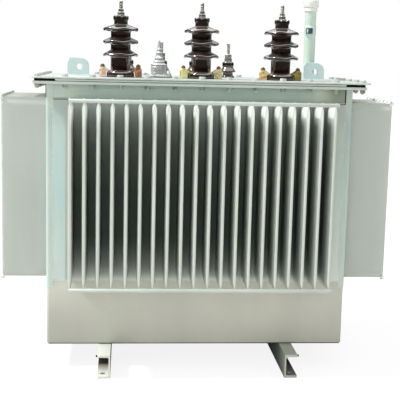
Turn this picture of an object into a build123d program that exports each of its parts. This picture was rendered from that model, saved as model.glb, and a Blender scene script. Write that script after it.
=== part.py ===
from build123d import *
import os

os.makedirs("parts", exist_ok=True)

# Millimetres. Z up, X along the long side of the tank, the high voltage row faces -Y.
# The origin is on the floor, midway between the rails and midway along them.

# Base rails: channels laid on edge, open outboard
rail_height = 80.0
rail_width = 43.0
rail_web = 5.5
rail_flange = 8.0
rail_length = 692.0
rail_web_x = 293.0
rail_hole_dia = 18.0
rail_hole_pitch = 632.0
rail_hole_x = rail_web_x + 25.0

# Tank
tank_width = 1024.0
tank_depth = 440.0
tank_corner = 8.0
lower_height = 225.0
fin_zone_height = 615.0
collar_height = 48.0
lower_top = rail_height + lower_height
fin_zone_top = lower_top + fin_zone_height
collar_top = fin_zone_top + collar_height

# Cooling fins folded out of the four walls
fin_pitch = 45.0
fin_thickness = 14.0
fin_depth = 140.0
side_fin_depth = 156.0
fins_front = 20
fins_side = 8
fin_end_thickness = 4.0
fin_taper = 36.0
wall_sheet = 4.0
panel_margin = 26.0
fin_half = fin_thickness / 2
panel_width = (fins_front - 1) * fin_pitch + fin_thickness + 2 * panel_margin
panel_width_side = (fins_side - 1) * fin_pitch + fin_thickness + 2 * panel_margin

# Round bars welded across the fin tips, half sunk in a notch of every fin
bar_dia = 14.0
bar_gap = 0.3
bar_overhang = 1.5
bar_radius = bar_dia / 2

# Flange, gasket and lid
flange_overhang = 42.0
flange_thickness = 9.0
gasket_overhang = 46.0
gasket_thickness = 9.0
lid_overhang = 53.0
lid_thickness = 6.0
lid_corner = 24.0
strip_depth = 8.0
strip_length = tank_width - 64.0
flange_top = collar_top + flange_thickness
gasket_top = flange_top + gasket_thickness
lid_top = gasket_top + lid_thickness

# High voltage bushings
hv_pitch = 272.0
hv_shift = 2.0
hv_x = tuple(hv_shift + hv_pitch * k for k in (-1, 0, 1))
hv_y = -154.0
hv_body_r = 33.0
hv_base_r = 46.0
hv_base_height = 23.0
hv_shed_r = 59.0
hv_sheds = (73.0, 115.0, 157.0)
hv_shed_rim = 5.0
hv_shed_rise = 13.0
hv_neck_r = 22.0
hv_cap_r = 24.5
hv_cap_bottom = 178.0
hv_cap_top = 203.0
hv_stud_r = 6.0
hv_terminal_height = 50.0

# Clamps that hold the foot of each high voltage bushing
clamp_inner_r = hv_base_r + 1.0
clamp_outer_r = 72.0
clamp_toe_r = 36.5
clamp_width = 26.0
clamp_height = 35.0
clamp_arm = 8.0
clamp_bolt_r = 5.0
clamp_bolt_rise = 9.0

# Low voltage bushings
lv_pitch = 124.0
lv_shift = -59.0
lv_x = tuple(lv_shift + lv_pitch * k for k in (-1.5, -0.5, 0.5, 1.5))
lv_y = 150.0
lv_base_r = 24.0
lv_body_r = 18.5
lv_shed_r = 28.5
lv_cap_r = 21.0
lv_cap_top = 57.0
lv_terminal_r = 13.0
lv_stud_r = 6.0
lv_terminal_height = 68.0

# Pressure relief valve
valve_x = -137.0
valve_y = -58.0
valve_flange_r = 46.0
valve_body_r = 28.0

# Filler tube with its cap and level window
tube_x = 413.0
tube_y = 58.0
tube_r = 20.0
tube_wall = 3.0
tube_height = 244.0
tube_collar_r = 22.5
tube_collar_z = 158.0
tube_collar_height = 34.0
window_width = 28.0
window_offset = -8.0
window_height = 24.0
window_thickness = 4.0
window_boss = 4.0
cap_r = 27.0
cap_height = 42.0

# Lifting lugs
lug_x = 419.0
lug_width = 76.0
lug_height = 62.0
lug_thickness = 14.0
lug_hole_r = 10.0
lug_hole_z = 30.0
lug_hole_offset = 4.0


def export(builder, label):
    builder.part.label = label
    export_step(builder.part, "parts/" + label + ".step")


# Rails
for side, name in ((-1, "base_rail_left"), (1, "base_rail_right")):
    with BuildPart() as rail:
        with BuildSketch(Plane.XZ.offset(-rail_length / 2)):
            with BuildLine():
                Polyline(
                    (side * rail_web_x, 0),
                    (side * (rail_web_x + rail_width), 0),
                    (side * (rail_web_x + rail_width), rail_flange),
                    (side * (rail_web_x + rail_web), rail_flange),
                    (side * (rail_web_x + rail_web), rail_height - rail_flange),
                    (side * (rail_web_x + rail_width), rail_height - rail_flange),
                    (side * (rail_web_x + rail_width), rail_height),
                    (side * rail_web_x, rail_height),
                    close=True,
                )
            make_face()
        extrude(amount=rail_length)
        inner = rail.edges().filter_by(Axis.Y).filter_by(
            lambda e: abs(abs(e.center().X) - rail_web_x - rail_web) < 0.1
        )
        fillet(inner, rail_web)
        with BuildSketch(Plane.XY):
            with Locations((side * rail_hole_x, 0)):
                with GridLocations(1, rail_hole_pitch, 1, 2):
                    Circle(rail_hole_dia / 2)
        extrude(amount=rail_flange + rail_web, mode=Mode.SUBTRACT)
    export(rail, name)

# Lower part of the tank: plain walls below the fins, closed by its floor
with BuildPart() as lower_tank:
    with BuildSketch(Plane.XY.offset(rail_height)):
        RectangleRounded(tank_width, tank_depth, tank_corner)
    extrude(amount=lower_height)
export(lower_tank, "lower_tank")

# Core of the tank behind the folded walls, with a seat for each of them
with BuildPart() as tank_core:
    with BuildSketch(Plane.XY.offset(lower_top)):
        RectangleRounded(tank_width, tank_depth, tank_corner)
        with GridLocations(0, tank_depth - wall_sheet, 1, 2):
            Rectangle(panel_width, wall_sheet, mode=Mode.SUBTRACT)
        with GridLocations(tank_width - wall_sheet, 0, 2, 1):
            Rectangle(wall_sheet, panel_width_side, mode=Mode.SUBTRACT)
    extrude(amount=fin_zone_height)
export(tank_core, "tank_core")

# Plain collar between the fins and the flange
with BuildPart() as upper_collar:
    with BuildSketch(Plane.XY.offset(fin_zone_top)):
        RectangleRounded(tank_width, tank_depth, tank_corner)
    extrude(amount=collar_height)
export(upper_collar, "upper_collar")


def fin_wall(count, depth, wall_face, width, turn):
    # A wall sheet with its fins; each fin is a flat pocket pinched shut at both ends
    half_end = fin_end_thickness / 2
    with BuildPart() as wall:
        with BuildSketch(Plane.XZ.offset(wall_face - wall_sheet)):
            with Locations((0, lower_top + fin_zone_height / 2)):
                Rectangle(width, fin_zone_height)
        extrude(amount=wall_sheet)
        with BuildSketch(Plane.XZ.offset(wall_face - wall_sheet / 2)):
            for i in range(count):
                x = (i - (count - 1) / 2) * fin_pitch
                with BuildLine():
                    Polyline(
                        (x - half_end, lower_top),
                        (x + half_end, lower_top),
                        (x + fin_half, lower_top + fin_taper),
                        (x + fin_half, fin_zone_top - fin_taper),
                        (x + half_end, fin_zone_top),
                        (x - half_end, fin_zone_top),
                        (x - fin_half, fin_zone_top - fin_taper),
                        (x - fin_half, lower_top + fin_taper),
                        close=True,
                    )
                make_face()
        extrude(amount=depth + wall_sheet / 2)
        notch = bar_radius + bar_gap
        tip = wall_face + depth
        for z in (lower_top, fin_zone_top):
            with BuildSketch(Plane.XZ.offset(tip - notch)):
                with Locations((0, z)):
                    Rectangle(width, notch * 2)
            extrude(amount=notch * 2, mode=Mode.SUBTRACT)
    return wall.part.rotate(Axis.Z, turn)


def fin_bars(count, tip, turn):
    # Two round bars, one along the top of the fin tips and one along the bottom
    length = (count - 1) * fin_pitch + fin_thickness + 2 * bar_overhang
    with BuildPart() as bars:
        with BuildSketch(Plane.YZ.offset(-length / 2)):
            with Locations((-tip, lower_top), (-tip, fin_zone_top)):
                Circle(bar_radius)
        extrude(amount=length)
    return bars.part.rotate(Axis.Z, turn)


# Folded walls and their bars, one of each for every side of the tank
front = (fins_front, fin_depth, tank_depth / 2, panel_width)
flank = (fins_side, side_fin_depth, tank_width / 2, panel_width_side)
for side, sizes, turn in (("front", front, 0), ("right", flank, 90), ("rear", front, 180), ("left", flank, 270)):
    count, depth, wall_face, width = sizes
    wall = fin_wall(count, depth, wall_face, width, turn)
    wall.label = side + "_fins"
    export_step(wall, "parts/" + side + "_fins.step")
    bars = fin_bars(count, wall_face + depth, turn)
    bars.label = side + "_fin_bars"
    export_step(bars, "parts/" + side + "_fin_bars.step")

# Flange welded round the collar
with BuildPart() as top_flange:
    with BuildSketch(Plane.XY.offset(collar_top)):
        RectangleRounded(tank_width + 2 * flange_overhang, tank_depth + 2 * flange_overhang, lid_corner - 6)
    extrude(amount=flange_thickness)
export(top_flange, "top_flange")

# Rubber gasket between the flange and the lid, set back behind the stop strips
with BuildPart() as lid_gasket:
    with BuildSketch(Plane.XY.offset(flange_top)):
        RectangleRounded(
            tank_width + 2 * flange_overhang - 8,
            tank_depth + 2 * flange_overhang - 2 * strip_depth,
            lid_corner - 10,
        )
    extrude(amount=gasket_thickness)
export(lid_gasket, "lid_gasket")

# Painted stop strips that close the gasket gap along the two long sides
for side, name in ((-1, "front_stop_strip"), (1, "rear_stop_strip")):
    with BuildPart() as strip:
        with BuildSketch(Plane.XY.offset(flange_top)):
            with Locations((0, side * (tank_depth / 2 + flange_overhang - strip_depth / 2))):
                Rectangle(strip_length, strip_depth)
        extrude(amount=gasket_thickness)
    export(strip, name)

# Lid
with BuildPart() as lid:
    with BuildSketch(Plane.XY.offset(gasket_top)):
        RectangleRounded(tank_width + 2 * lid_overhang, tank_depth + 2 * lid_overhang, lid_corner)
    extrude(amount=lid_thickness)
export(lid, "lid")

# High voltage bushings: a flared foot, a body with three sheds and a narrow cap
for i, x in enumerate(hv_x):
    with BuildPart() as bushing:
        with BuildSketch(Plane.XZ.offset(-hv_y)):
            with BuildLine():
                Line((x, lid_top), (x + hv_base_r, lid_top))
                Line((x + hv_base_r, lid_top), (x + hv_base_r, lid_top + hv_base_height * 0.6))
                RadiusArc(
                    (x + hv_base_r, lid_top + hv_base_height * 0.6),
                    (x + hv_body_r, lid_top + hv_base_height),
                    -hv_base_height * 0.8,
                )
                last = (x + hv_body_r, lid_top + hv_base_height)
                for z in hv_sheds:
                    under = (x + hv_body_r, lid_top + z)
                    rim_low = (x + hv_shed_r - 1.5, lid_top + z - 1.0)
                    rim = (x + hv_shed_r, lid_top + z + hv_shed_rim * 0.4)
                    rim_top = (x + hv_shed_r - 2.5, lid_top + z + hv_shed_rim)
                    shoulder_r = hv_neck_r if z == hv_sheds[-1] else hv_body_r
                    shoulder = (x + shoulder_r, lid_top + z + hv_shed_rise + hv_body_r - shoulder_r)
                    Polyline(last, under, rim_low, rim, rim_top)
                    bulge = (
                        (rim_top[0] + shoulder[0]) / 2 + 1.0,
                        (rim_top[1] + shoulder[1]) / 2 + 2.4,
                    )
                    ThreePointArc(rim_top, bulge, shoulder)
                    last = shoulder
                Polyline(
                    last,
                    (x + hv_neck_r, lid_top + hv_cap_bottom + 6),
                    (x + hv_cap_r, lid_top + hv_cap_bottom + 12),
                    (x + hv_cap_r, lid_top + hv_cap_top - 3),
                    (x + hv_cap_r - 3, lid_top + hv_cap_top),
                    (x, lid_top + hv_cap_top),
                    (x, lid_top),
                )
            make_face()
        revolve(axis=Axis((x, hv_y, 0), (0, 0, 1)))
    export(bushing, "hv_bushing_" + str(i + 1))

    # Terminal: washer, two nuts and a threaded stud
    cap = lid_top + hv_cap_top
    with BuildPart() as terminal:
        with BuildSketch(Plane.XY.offset(cap)):
            with Locations((x, hv_y)):
                Circle(13)
        extrude(amount=3)
        with BuildSketch(Plane.XY.offset(cap + 3)):
            with Locations((x, hv_y)):
                RegularPolygon(11, 6)
        extrude(amount=9)
        with BuildSketch(Plane.XY.offset(cap + 12)):
            with Locations((x, hv_y)):
                Circle(9)
        extrude(amount=2.5)
        with BuildSketch(Plane.XY.offset(cap + 14.5)):
            with Locations((x, hv_y)):
                RegularPolygon(9.5, 6)
        extrude(amount=8)
        with BuildSketch(Plane.XY.offset(cap + 22.5)):
            with Locations((x, hv_y)):
                Circle(hv_stud_r)
        extrude(amount=hv_terminal_height - 22.5)
        chamfer(terminal.edges().group_by(Axis.Z)[-1], 1.2)
    export(terminal, "hv_terminal_" + str(i + 1))

    # Clamps left and right of the foot: a post, an arm over the foot and a bolt with its nut
    with BuildPart() as clamps:
        for side in (-1, 1):
            with BuildSketch(Plane.XZ.offset(-hv_y - clamp_width / 2)):
                with BuildLine():
                    Polyline(
                        (x + side * clamp_inner_r, lid_top),
                        (x + side * clamp_outer_r, lid_top),
                        (x + side * clamp_outer_r, lid_top + clamp_height - 7),
                        (x + side * (clamp_outer_r - 5), lid_top + clamp_height),
                        (x + side * (clamp_toe_r + 6), lid_top + clamp_height),
                        (x + side * clamp_toe_r, lid_top + clamp_height - 4),
                        (x + side * clamp_toe_r, lid_top + clamp_height - clamp_arm),
                        (x + side * clamp_inner_r, lid_top + clamp_height - clamp_arm - 2),
                        close=True,
                    )
                make_face()
            extrude(amount=clamp_width)
            with BuildSketch(Plane.XY.offset(lid_top + clamp_height)):
                with Locations((x + side * (clamp_outer_r - 14), hv_y)):
                    RegularPolygon(9, 6)
            extrude(amount=6)
            with BuildSketch(Plane.XY.offset(lid_top + clamp_height + 6)):
                with Locations((x + side * (clamp_outer_r - 14), hv_y)):
                    Circle(clamp_bolt_r)
            extrude(amount=clamp_bolt_rise - 6)
    export(clamps, "hv_clamps_" + str(i + 1))

# Low voltage bushings: a short body with one shed and a cap
for i, x in enumerate(lv_x):
    with BuildPart() as bushing:
        with BuildSketch(Plane.XZ.offset(-lv_y)):
            with BuildLine():
                Polyline(
                    (x, lid_top),
                    (x + lv_base_r, lid_top),
                    (x + lv_base_r, lid_top + 5),
                    (x + lv_body_r, lid_top + 8),
                    (x + lv_body_r, lid_top + 19),
                    (x + lv_shed_r - 1, lid_top + 20),
                    (x + lv_shed_r, lid_top + 23),
                    (x + lv_shed_r - 2, lid_top + 26),
                    (x + lv_cap_r - 2, lid_top + 38),
                    (x + lv_cap_r, lid_top + 41),
                    (x + lv_cap_r, lid_top + lv_cap_top - 3),
                    (x + lv_cap_r - 3, lid_top + lv_cap_top),
                    (x, lid_top + lv_cap_top),
                    close=True,
                )
            make_face()
        revolve(axis=Axis((x, lv_y, 0), (0, 0, 1)))
    export(bushing, "lv_bushing_" + str(i + 1))

    # Terminal: washer, nut, flat terminal block and a threaded stud
    cap = lid_top + lv_cap_top
    with BuildPart() as terminal:
        with BuildSketch(Plane.XY.offset(cap)):
            with Locations((x, lv_y)):
                Circle(14)
        extrude(amount=3)
        with BuildSketch(Plane.XY.offset(cap + 3)):
            with Locations((x, lv_y)):
                RegularPolygon(12, 6)
        extrude(amount=9)
        with BuildSketch(Plane.XY.offset(cap + 12)):
            with Locations((x, lv_y)):
                Circle(lv_terminal_r)
        extrude(amount=3)
        with BuildSketch(Plane.XY.offset(cap + 15)):
            with Locations((x, lv_y)):
                RegularPolygon(12, 6)
        extrude(amount=13)
        with BuildSketch(Plane.XY.offset(cap + 28)):
            with Locations((x, lv_y)):
                Circle(lv_stud_r)
        extrude(amount=lv_terminal_height - 28)
        chamfer(terminal.edges().group_by(Axis.Z)[-1], 1.2)
    export(terminal, "lv_terminal_" + str(i + 1))

# Pressure relief valve: round flange, spring housing, stepped cone and pull rod
with BuildPart() as relief_valve:
    with BuildSketch(Plane.XZ.offset(-valve_y)):
        with BuildLine():
            Polyline(
                (valve_x, lid_top),
                (valve_x + valve_flange_r, lid_top),
                (valve_x + valve_flange_r, lid_top + 8),
                (valve_x + valve_body_r, lid_top + 8),
                (valve_x + valve_body_r, lid_top + 43),
                (valve_x + valve_body_r - 5, lid_top + 49),
                (valve_x + 19, lid_top + 51),
                (valve_x + 19, lid_top + 57),
                (valve_x + 14, lid_top + 60),
                (valve_x + 14, lid_top + 67),
                (valve_x + 11.5, lid_top + 71),
                (valve_x + 8, lid_top + 104),
                (valve_x + 5, lid_top + 108),
                (valve_x + 4, lid_top + 124),
                (valve_x, lid_top + 127),
                close=True,
            )
        make_face()
    revolve(axis=Axis((valve_x, valve_y, 0), (0, 0, 1)))
export(relief_valve, "relief_valve")

# Filler tube: a pipe on a foot plate, with a collar and a flat boss for the window
with BuildPart() as filler_tube:
    with BuildSketch(Plane.XY.offset(lid_top)):
        with Locations((tube_x, tube_y)):
            Circle(tube_r + 12)
    extrude(amount=6)
    with BuildSketch(Plane.XY.offset(lid_top + 6)):
        with Locations((tube_x, tube_y)):
            Circle(tube_r)
    extrude(amount=tube_height - 6)
    with BuildSketch(Plane.XY.offset(lid_top + tube_collar_z)):
        with Locations((tube_x, tube_y)):
            Circle(tube_collar_r)
    extrude(amount=tube_collar_height)
    with BuildSketch(Plane.XZ.offset(tube_collar_r + window_boss - 2 - tube_y)):
        with Locations((tube_x + window_offset, lid_top + tube_collar_z + tube_collar_height / 2)):
            Rectangle(window_width, window_height)
    extrude(amount=-(tube_r - 2))
    with BuildSketch(Plane.XY.offset(lid_top + 6)):
        with Locations((tube_x, tube_y)):
            Circle(tube_r - tube_wall)
    extrude(amount=tube_height - 6, mode=Mode.SUBTRACT)
export(filler_tube, "filler_tube")

# Level window
with BuildPart() as level_window:
    with BuildSketch(Plane.XZ.offset(tube_collar_r + window_boss - 2 - tube_y)):
        with Locations((tube_x + window_offset, lid_top + tube_collar_z + tube_collar_height / 2)):
            Rectangle(window_width - 4, window_height - 4)
    extrude(amount=window_thickness)
export(level_window, "level_window")

# Screw cap of the filler tube
with BuildPart() as filler_cap:
    with BuildSketch(Plane.XY.offset(lid_top + tube_height)):
        with Locations((tube_x, tube_y)):
            Circle(cap_r)
    extrude(amount=cap_height)
    fillet(filler_cap.edges().group_by(Axis.Z)[-1], 4)
export(filler_cap, "filler_cap")

# Lifting lugs: upright plates with one square and one cut or rounded upper corner
for side, name in ((-1, "lifting_lug_left"), (1, "lifting_lug_right")):
    with BuildPart() as lug:
        x = side * lug_x
        with BuildSketch(Plane.XZ.offset(-lug_thickness / 2)):
            with Locations((x, lid_top + lug_height / 2)):
                Rectangle(lug_width, lug_height)
        extrude(amount=lug_thickness)
        corner = lug.edges().filter_by(Axis.Y).sort_by(Axis.X)[-2:].sort_by(Axis.Z)[-1]
        fillet(corner, 30)
        with BuildSketch(Plane.XZ.offset(-lug_thickness / 2)):
            with Locations((x + lug_hole_offset, lid_top + lug_hole_z)):
                Circle(lug_hole_r)
        extrude(amount=lug_thickness, mode=Mode.SUBTRACT)
    export(lug, name)
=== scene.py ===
import bpy
import bmesh
import math
from mathutils import Matrix, Vector


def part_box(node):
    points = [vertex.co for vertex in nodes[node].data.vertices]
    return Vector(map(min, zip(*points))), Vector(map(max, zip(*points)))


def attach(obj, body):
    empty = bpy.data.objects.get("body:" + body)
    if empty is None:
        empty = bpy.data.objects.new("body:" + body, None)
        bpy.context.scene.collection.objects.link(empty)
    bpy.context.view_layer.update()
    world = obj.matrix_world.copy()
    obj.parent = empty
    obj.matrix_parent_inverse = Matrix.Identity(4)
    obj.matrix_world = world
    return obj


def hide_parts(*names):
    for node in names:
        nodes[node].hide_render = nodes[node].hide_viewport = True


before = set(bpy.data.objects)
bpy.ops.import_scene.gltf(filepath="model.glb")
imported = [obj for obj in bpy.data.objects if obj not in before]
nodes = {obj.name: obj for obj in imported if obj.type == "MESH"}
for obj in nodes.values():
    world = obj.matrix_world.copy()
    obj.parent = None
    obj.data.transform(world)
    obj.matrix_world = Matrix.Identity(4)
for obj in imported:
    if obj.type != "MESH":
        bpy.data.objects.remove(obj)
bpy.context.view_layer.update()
print("frame loaded:", len(nodes), "nodes")

toMetres = 0.001
fullTurn = 2 * math.pi
corners = ((-1, -1), (1, -1), (1, 1), (-1, 1))


def metres(*values):
    return tuple(v * toMetres for v in values)


def boxMm(name):
    low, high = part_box(name)
    return [v / toMetres for v in low], [v / toMetres for v in high]


def middleMm(name):
    # the middle of a node, seen from above
    low, high = boxMm(name)
    return (low[0] + high[0]) / 2, (low[1] + high[1]) / 2


def between(value, stops):
    # straight-line reading of a short table
    for (x0, y0), (x1, y1) in zip(stops, stops[1:]):
        if value <= x1:
            return y0 + (y1 - y0) * max(value - x0, 0.0) / (x1 - x0)
    return stops[-1][1]


def linearColour(hexCode):
    channels = []
    for i in (1, 3, 5):
        c = int(hexCode[i:i + 2], 16) / 255
        channels.append(c / 12.92 if c <= 0.04045 else ((c + 0.055) / 1.055) ** 2.4)
    return (*channels, 1.0)


def socketValue(value):
    # a colour may be given as its hex code
    return linearColour(value) if isinstance(value, str) and value.startswith("#") else value


def addNode(tree, kind, settings=None, links=None):
    # settings name an input socket, a property of the node or the stops of its colour ramp
    node = tree.nodes.new(kind)
    settings = dict(settings or {})
    stops = settings.pop("stops", None)
    if stops:
        elements = node.color_ramp.elements
        elements.remove(elements[1])
        elements[0].position, elements[0].color = stops[0][0], linearColour(stops[0][1])
        for position, hexCode in stops[1:]:
            elements.new(position).color = linearColour(hexCode)
    for key in [k for k in settings if isinstance(k, str) and hasattr(node, k)]:
        setattr(node, key, settings.pop(key))
    for key, value in settings.items():
        node.inputs[key].default_value = socketValue(value)
    for key, source in (links or {}).items():
        tree.links.new(source, node.inputs[key])
    return node


def newMaterial(name, shaderValues):
    material = bpy.data.materials.new(name)
    material.use_nodes = True
    tree = material.node_tree
    shader = tree.nodes["Principled BSDF"]
    for key, value in shaderValues.items():
        shader.inputs[key].default_value = socketValue(value)
    return material, tree, shader, addNode(tree, "ShaderNodeTexCoord").outputs["Object"]


def mottle(tree, where, scale, detail, stops, **more):
    # soft patches about 1 / scale metres wide: how far into a patch, and its colour
    patches = addNode(tree, "ShaderNodeTexNoise", {"Scale": scale, "Detail": detail, **more}, {"Vector": where})
    tone = addNode(tree, "ShaderNodeValToRGB", {"stops": stops}, {0: patches.outputs["Fac"]})
    return patches.outputs["Fac"], tone.outputs[0]


def relief(tree, shader, where, scale, detail, strength, depth):
    # bumps about 1 / scale metres wide, laid over any that the shader has already
    bumps = addNode(tree, "ShaderNodeTexNoise", {"Scale": scale, "Detail": detail}, {"Vector": where})
    links = {"Height": bumps.outputs["Fac"]}
    for link in shader.inputs["Normal"].links:
        links["Normal"] = link.from_socket
    bump = addNode(tree, "ShaderNodeBump", {"Strength": strength, "Distance": depth}, links)
    tree.links.new(bump.outputs[0], shader.inputs["Normal"])


def roughnessBy(tree, shader, source, low, high):
    spread = addNode(tree, "ShaderNodeMapRange", {3: low, 4: high}, {0: source})
    tree.links.new(spread.outputs[0], shader.inputs["Roughness"])


def sprayedPaint(name, baseHex, duskHex, roughness=0.42, shadeHex=None, shadeBands=()):
    # air-dried alkyd enamel, sprayed: soft sheen, faint orange peel, tone drifting over the sheet;
    # with shadeHex it darkens towards that painted shade where the paintedLightShare attribute falls, between the
    # fins and inside the rails;
    # shadeBands are (axis, tones by millimetre): painted light and shade, lighter or darker along that axis
    material, tree, shader, where = newMaterial(name, {"Roughness": roughness, "IOR": 1.5})
    # clouds about 300 mm wide
    colour = mottle(tree, where, 3.2, 3.0, ((0.34, duskHex), (0.66, baseHex)), Roughness=0.5)[1]
    # upright passes of the gun, 70 mm apart
    drawn = addNode(tree, "ShaderNodeMapping", {"Scale": (14.0, 14.0, 2.0)}, {"Vector": where})
    streak, wash = mottle(tree, drawn.outputs[0], 1.0, 4.0, ((0.30, "#f9faf8"), (0.60, "#ffffff")), Roughness=0.6)
    washes = [wash]
    for axis, tones in shadeBands:
        low, high = tones[0][0], tones[-1][0]
        axes = addNode(tree, "ShaderNodeSeparateXYZ", links={0: where})
        along = addNode(tree, "ShaderNodeMapRange", {1: low * toMetres, 2: high * toMetres},
                        {0: axes.outputs[axis]})
        stops = [((at - low) / (high - low), tone) for at, tone in tones]
        washes.append(addNode(tree, "ShaderNodeValToRGB", {"stops": stops}, {0: along.outputs[0]}).outputs[0])
    for wash in washes:
        colour = addNode(tree, "ShaderNodeMix", {"data_type": "RGBA", "blend_type": "MULTIPLY", 0: 1.0},
                         {6: colour, 7: wash}).outputs[2]
    if shadeHex:
        # painted shade: the colour runs to shadeHex where paintedLightShare is low
        reach = addNode(tree, "ShaderNodeAttribute", {"attribute_name": "paintedLightShare"})
        colour = addNode(tree, "ShaderNodeMix", {"data_type": "RGBA", 6: shadeHex},
                         {0: reach.outputs["Fac"], 7: colour}).outputs[2]
    tree.links.new(colour, shader.inputs["Base Color"])
    roughnessBy(tree, shader, streak, roughness - 0.06, roughness + 0.10)
    relief(tree, shader, where, 420.0, 1.0, 0.06, 0.0005)  # orange peel, 2.5 mm, a little coarse so that it shows
    relief(tree, shader, where, 6.0, 1.0, 0.2, 0.004)  # sheet that isn't quite flat
    return material


def glazedPorcelain(name):
    # brown feldspathic glaze fired over electrical porcelain: near black, wet gloss, warmer where it pools
    material, tree, shader, where = newMaterial(name, {
        "Roughness": 0.12, "IOR": 1.8, "Specular Tint": "#f2d6c8",
        "Coat Weight": 1.0, "Coat Roughness": 0.05, "Coat IOR": 1.65})
    # the glaze pools about 45 mm wide
    pooling, tone = mottle(tree, where, 22.0, 4.0, ((0.38, "#0d0706"), (0.60, "#1a0e0a"), (0.80, "#301910")))
    # paler where the sheds look up, broken by the pools: dust, and a painted highlight of the bright ceiling
    facing = addNode(tree, "ShaderNodeNewGeometry")
    tilt = addNode(tree, "ShaderNodeSeparateXYZ", links={0: facing.outputs["Normal"]})
    level = addNode(tree, "ShaderNodeMapRange", {1: 0.78, 2: 0.93, 4: 0.16}, {0: tilt.outputs[2]})
    broken = addNode(tree, "ShaderNodeMapRange", {1: 0.35, 2: 0.6, 3: 0.45, 4: 1.0}, {0: pooling})
    cover = addNode(tree, "ShaderNodeMath", {"operation": "MULTIPLY"}, {0: level.outputs[0], 1: broken.outputs[0]})
    dustAndHighlight = addNode(tree, "ShaderNodeMix", {"data_type": "RGBA", 7: "#a0938e"}, {0: cover.outputs[0], 6: tone})
    tree.links.new(dustAndHighlight.outputs[2], shader.inputs["Base Color"])
    relief(tree, shader, where, 60.0, 2.0, 0.32, 0.002)  # brushed-on glaze, about 16 mm
    return material


def mottledFinish(name, shaderValues, scale, detail, stops, bump=None, roughness=None, **more):
    # what the finishes below share: patches of colour, then relief and roughness where they are given
    material, tree, shader, where = newMaterial(name, shaderValues)
    patches, tone = mottle(tree, where, scale, detail, stops, **more)
    tree.links.new(tone, shader.inputs["Base Color"])
    if roughness:
        roughnessBy(tree, shader, patches, *roughness)
    if bump:
        relief(tree, shader, where, *bump)
    return material


def chromatedZinc(name, tintHex, deepHex, paleHex):
    # yellow chromate on zinc-plated steel: gold that runs into green, red and straw patches of 14 mm,
    # with a plating grain of 2 mm
    return mottledFinish(name, {"Roughness": 0.42, "Metallic": 0.45}, 74.0, 4.0,
                         ((0.34, deepHex), (0.47, tintHex), (0.60, paleHex)), (500.0, 1.0, 0.15, 0.0004),
                         Distortion=1.2)


def plainMetal(name, baseHex, darkHex, roughness, grainScale, metallic=1.0):
    # plated or cast metal with a broken grain, bright where it is rubbed
    return mottledFinish(name, {"Roughness": roughness, "Metallic": metallic}, grainScale, 4.0,
                         ((0.35, darkHex), (0.60, baseHex)), (grainScale, 4.0, 0.2, 0.0004),
                         (roughness - 0.08, roughness + 0.12))


# the bands below are painted light and shade: the lower wall darker towards its foot and ends, the core and the
# angles darker towards the top, the collar darker and warmer towards its right-hand end
lowerPaint = sprayedPaint("lowerTankEnamel", "#ccccc0", "#c3c4b9", shadeBands=(
    ("X", ((-512, "#f7f7f8"), (-440, "#f7f7f8"), (-330, "#ffffff"), (200, "#fefefe"), (420, "#f7f7f7"))),
    ("Z", ((80, "#e9e9e8"), (120, "#eeeeed"), (185, "#f4f4f3"), (265, "#fefefe"), (305, "#ffffff")))))
corePaint = sprayedPaint("coreEnamel", "#d4e0da", "#d0dcd6", shadeBands=(
    ("X", ((-480, "#f2f7fa"), (-400, "#f2f7fa"), (400, "#fff9f6"))),
    ("Z", ((305, "#f9f9f9"), (380, "#ffffff"), (450, "#fcfdfc"), (600, "#e9f2f5"), (820, "#e4e9e8"),
           (880, "#dadbd8")))))
anglePaint = sprayedPaint("angleEnamel", "#c3d0c9", "#bac7c0", shadeBands=(
    ("Z", ((280, "#ffffff"), (450, "#fcfdfd"), (650, "#f4f8f9"), (850, "#e9edee"), (905, "#f5f5f3"))),))
collarPaint = sprayedPaint("collarEnamel", "#cde0d6", "#c4d5cc", shadeBands=(
    ("X", ((-505, "#ebe4e2"), (-430, "#eae2e0"), (-400, "#e1e1e0"), (330, "#e2e2e1"), (395, "#fdf6ee"),
           (425, "#e4dfd4"), (450, "#bab8ac"), (490, "#b7b1a4"))),))
# painted shade between the fins: the fin enamel runs to its dark tone where paintedLightShare is low
finPaint = sprayedPaint("finEnamel", "#eff3ee", "#e8ede5", 0.40, "#576459")
tipBarPaint = sprayedPaint("tipBarEnamel", "#bec6bf", "#b3bdb5", 0.38)
lidPaint = sprayedPaint("lidEnamel", "#c4cbc5", "#b9c2bb")
lidTopPaint = sprayedPaint("lidTopEnamel", "#c9cfca", "#bfc6c0")
lugPaint = sprayedPaint("lugEnamel", "#d8ebea", "#cde0df", 0.38)
tubePaint = sprayedPaint("tubeEnamel", "#cfe0d4", "#c2d5c8", 0.34)
capPaint = sprayedPaint("capEnamel", "#eaede6", "#dee1d8", 0.34)
# lit and shaded copies of one enamel: the left rail paler, the right darker, as painted light and shade; their dark
# tones are painted shade inside the channels
litAndShadedRailPaints = {"left": sprayedPaint("railEnamelPaintedLit", "#dcded6", "#d0d3c9", 0.5, "#5a5646"),
              "right": sprayedPaint("railEnamelPaintedShade", "#b0b6ac", "#a2a89e", 0.5, "#363a30")}
porcelain = glazedPorcelain("brownGlaze")
tinnedBrass = plainMetal("tinnedBrass", "#d6d8cf", "#a6a89c", 0.34, 140.0)
castAluminium = plainMetal("castAluminium", "#d9dddb", "#b1b7b5", 0.36, 220.0, 0.6)
zincBolt = plainMetal("zincPlatedSteel", "#e8efe8", "#bac4bc", 0.36, 260.0, 0.4)
dullZinc = plainMetal("weatheredZinc", "#b4c0b8", "#6c7a72", 0.5, 28.0, 0.35)
brownNut = plainMetal("bronzedNut", "#a58a58", "#54422a", 0.4, 240.0, 0.6)
# dark steel for the rail studs, also used as painted shadow on the bottom plate and in the collar's laps
darkSteelAndShadow = plainMetal("blackedSteelAndShadow", "#3a3a38", "#1c1c1b", 0.5, 300.0)
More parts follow.
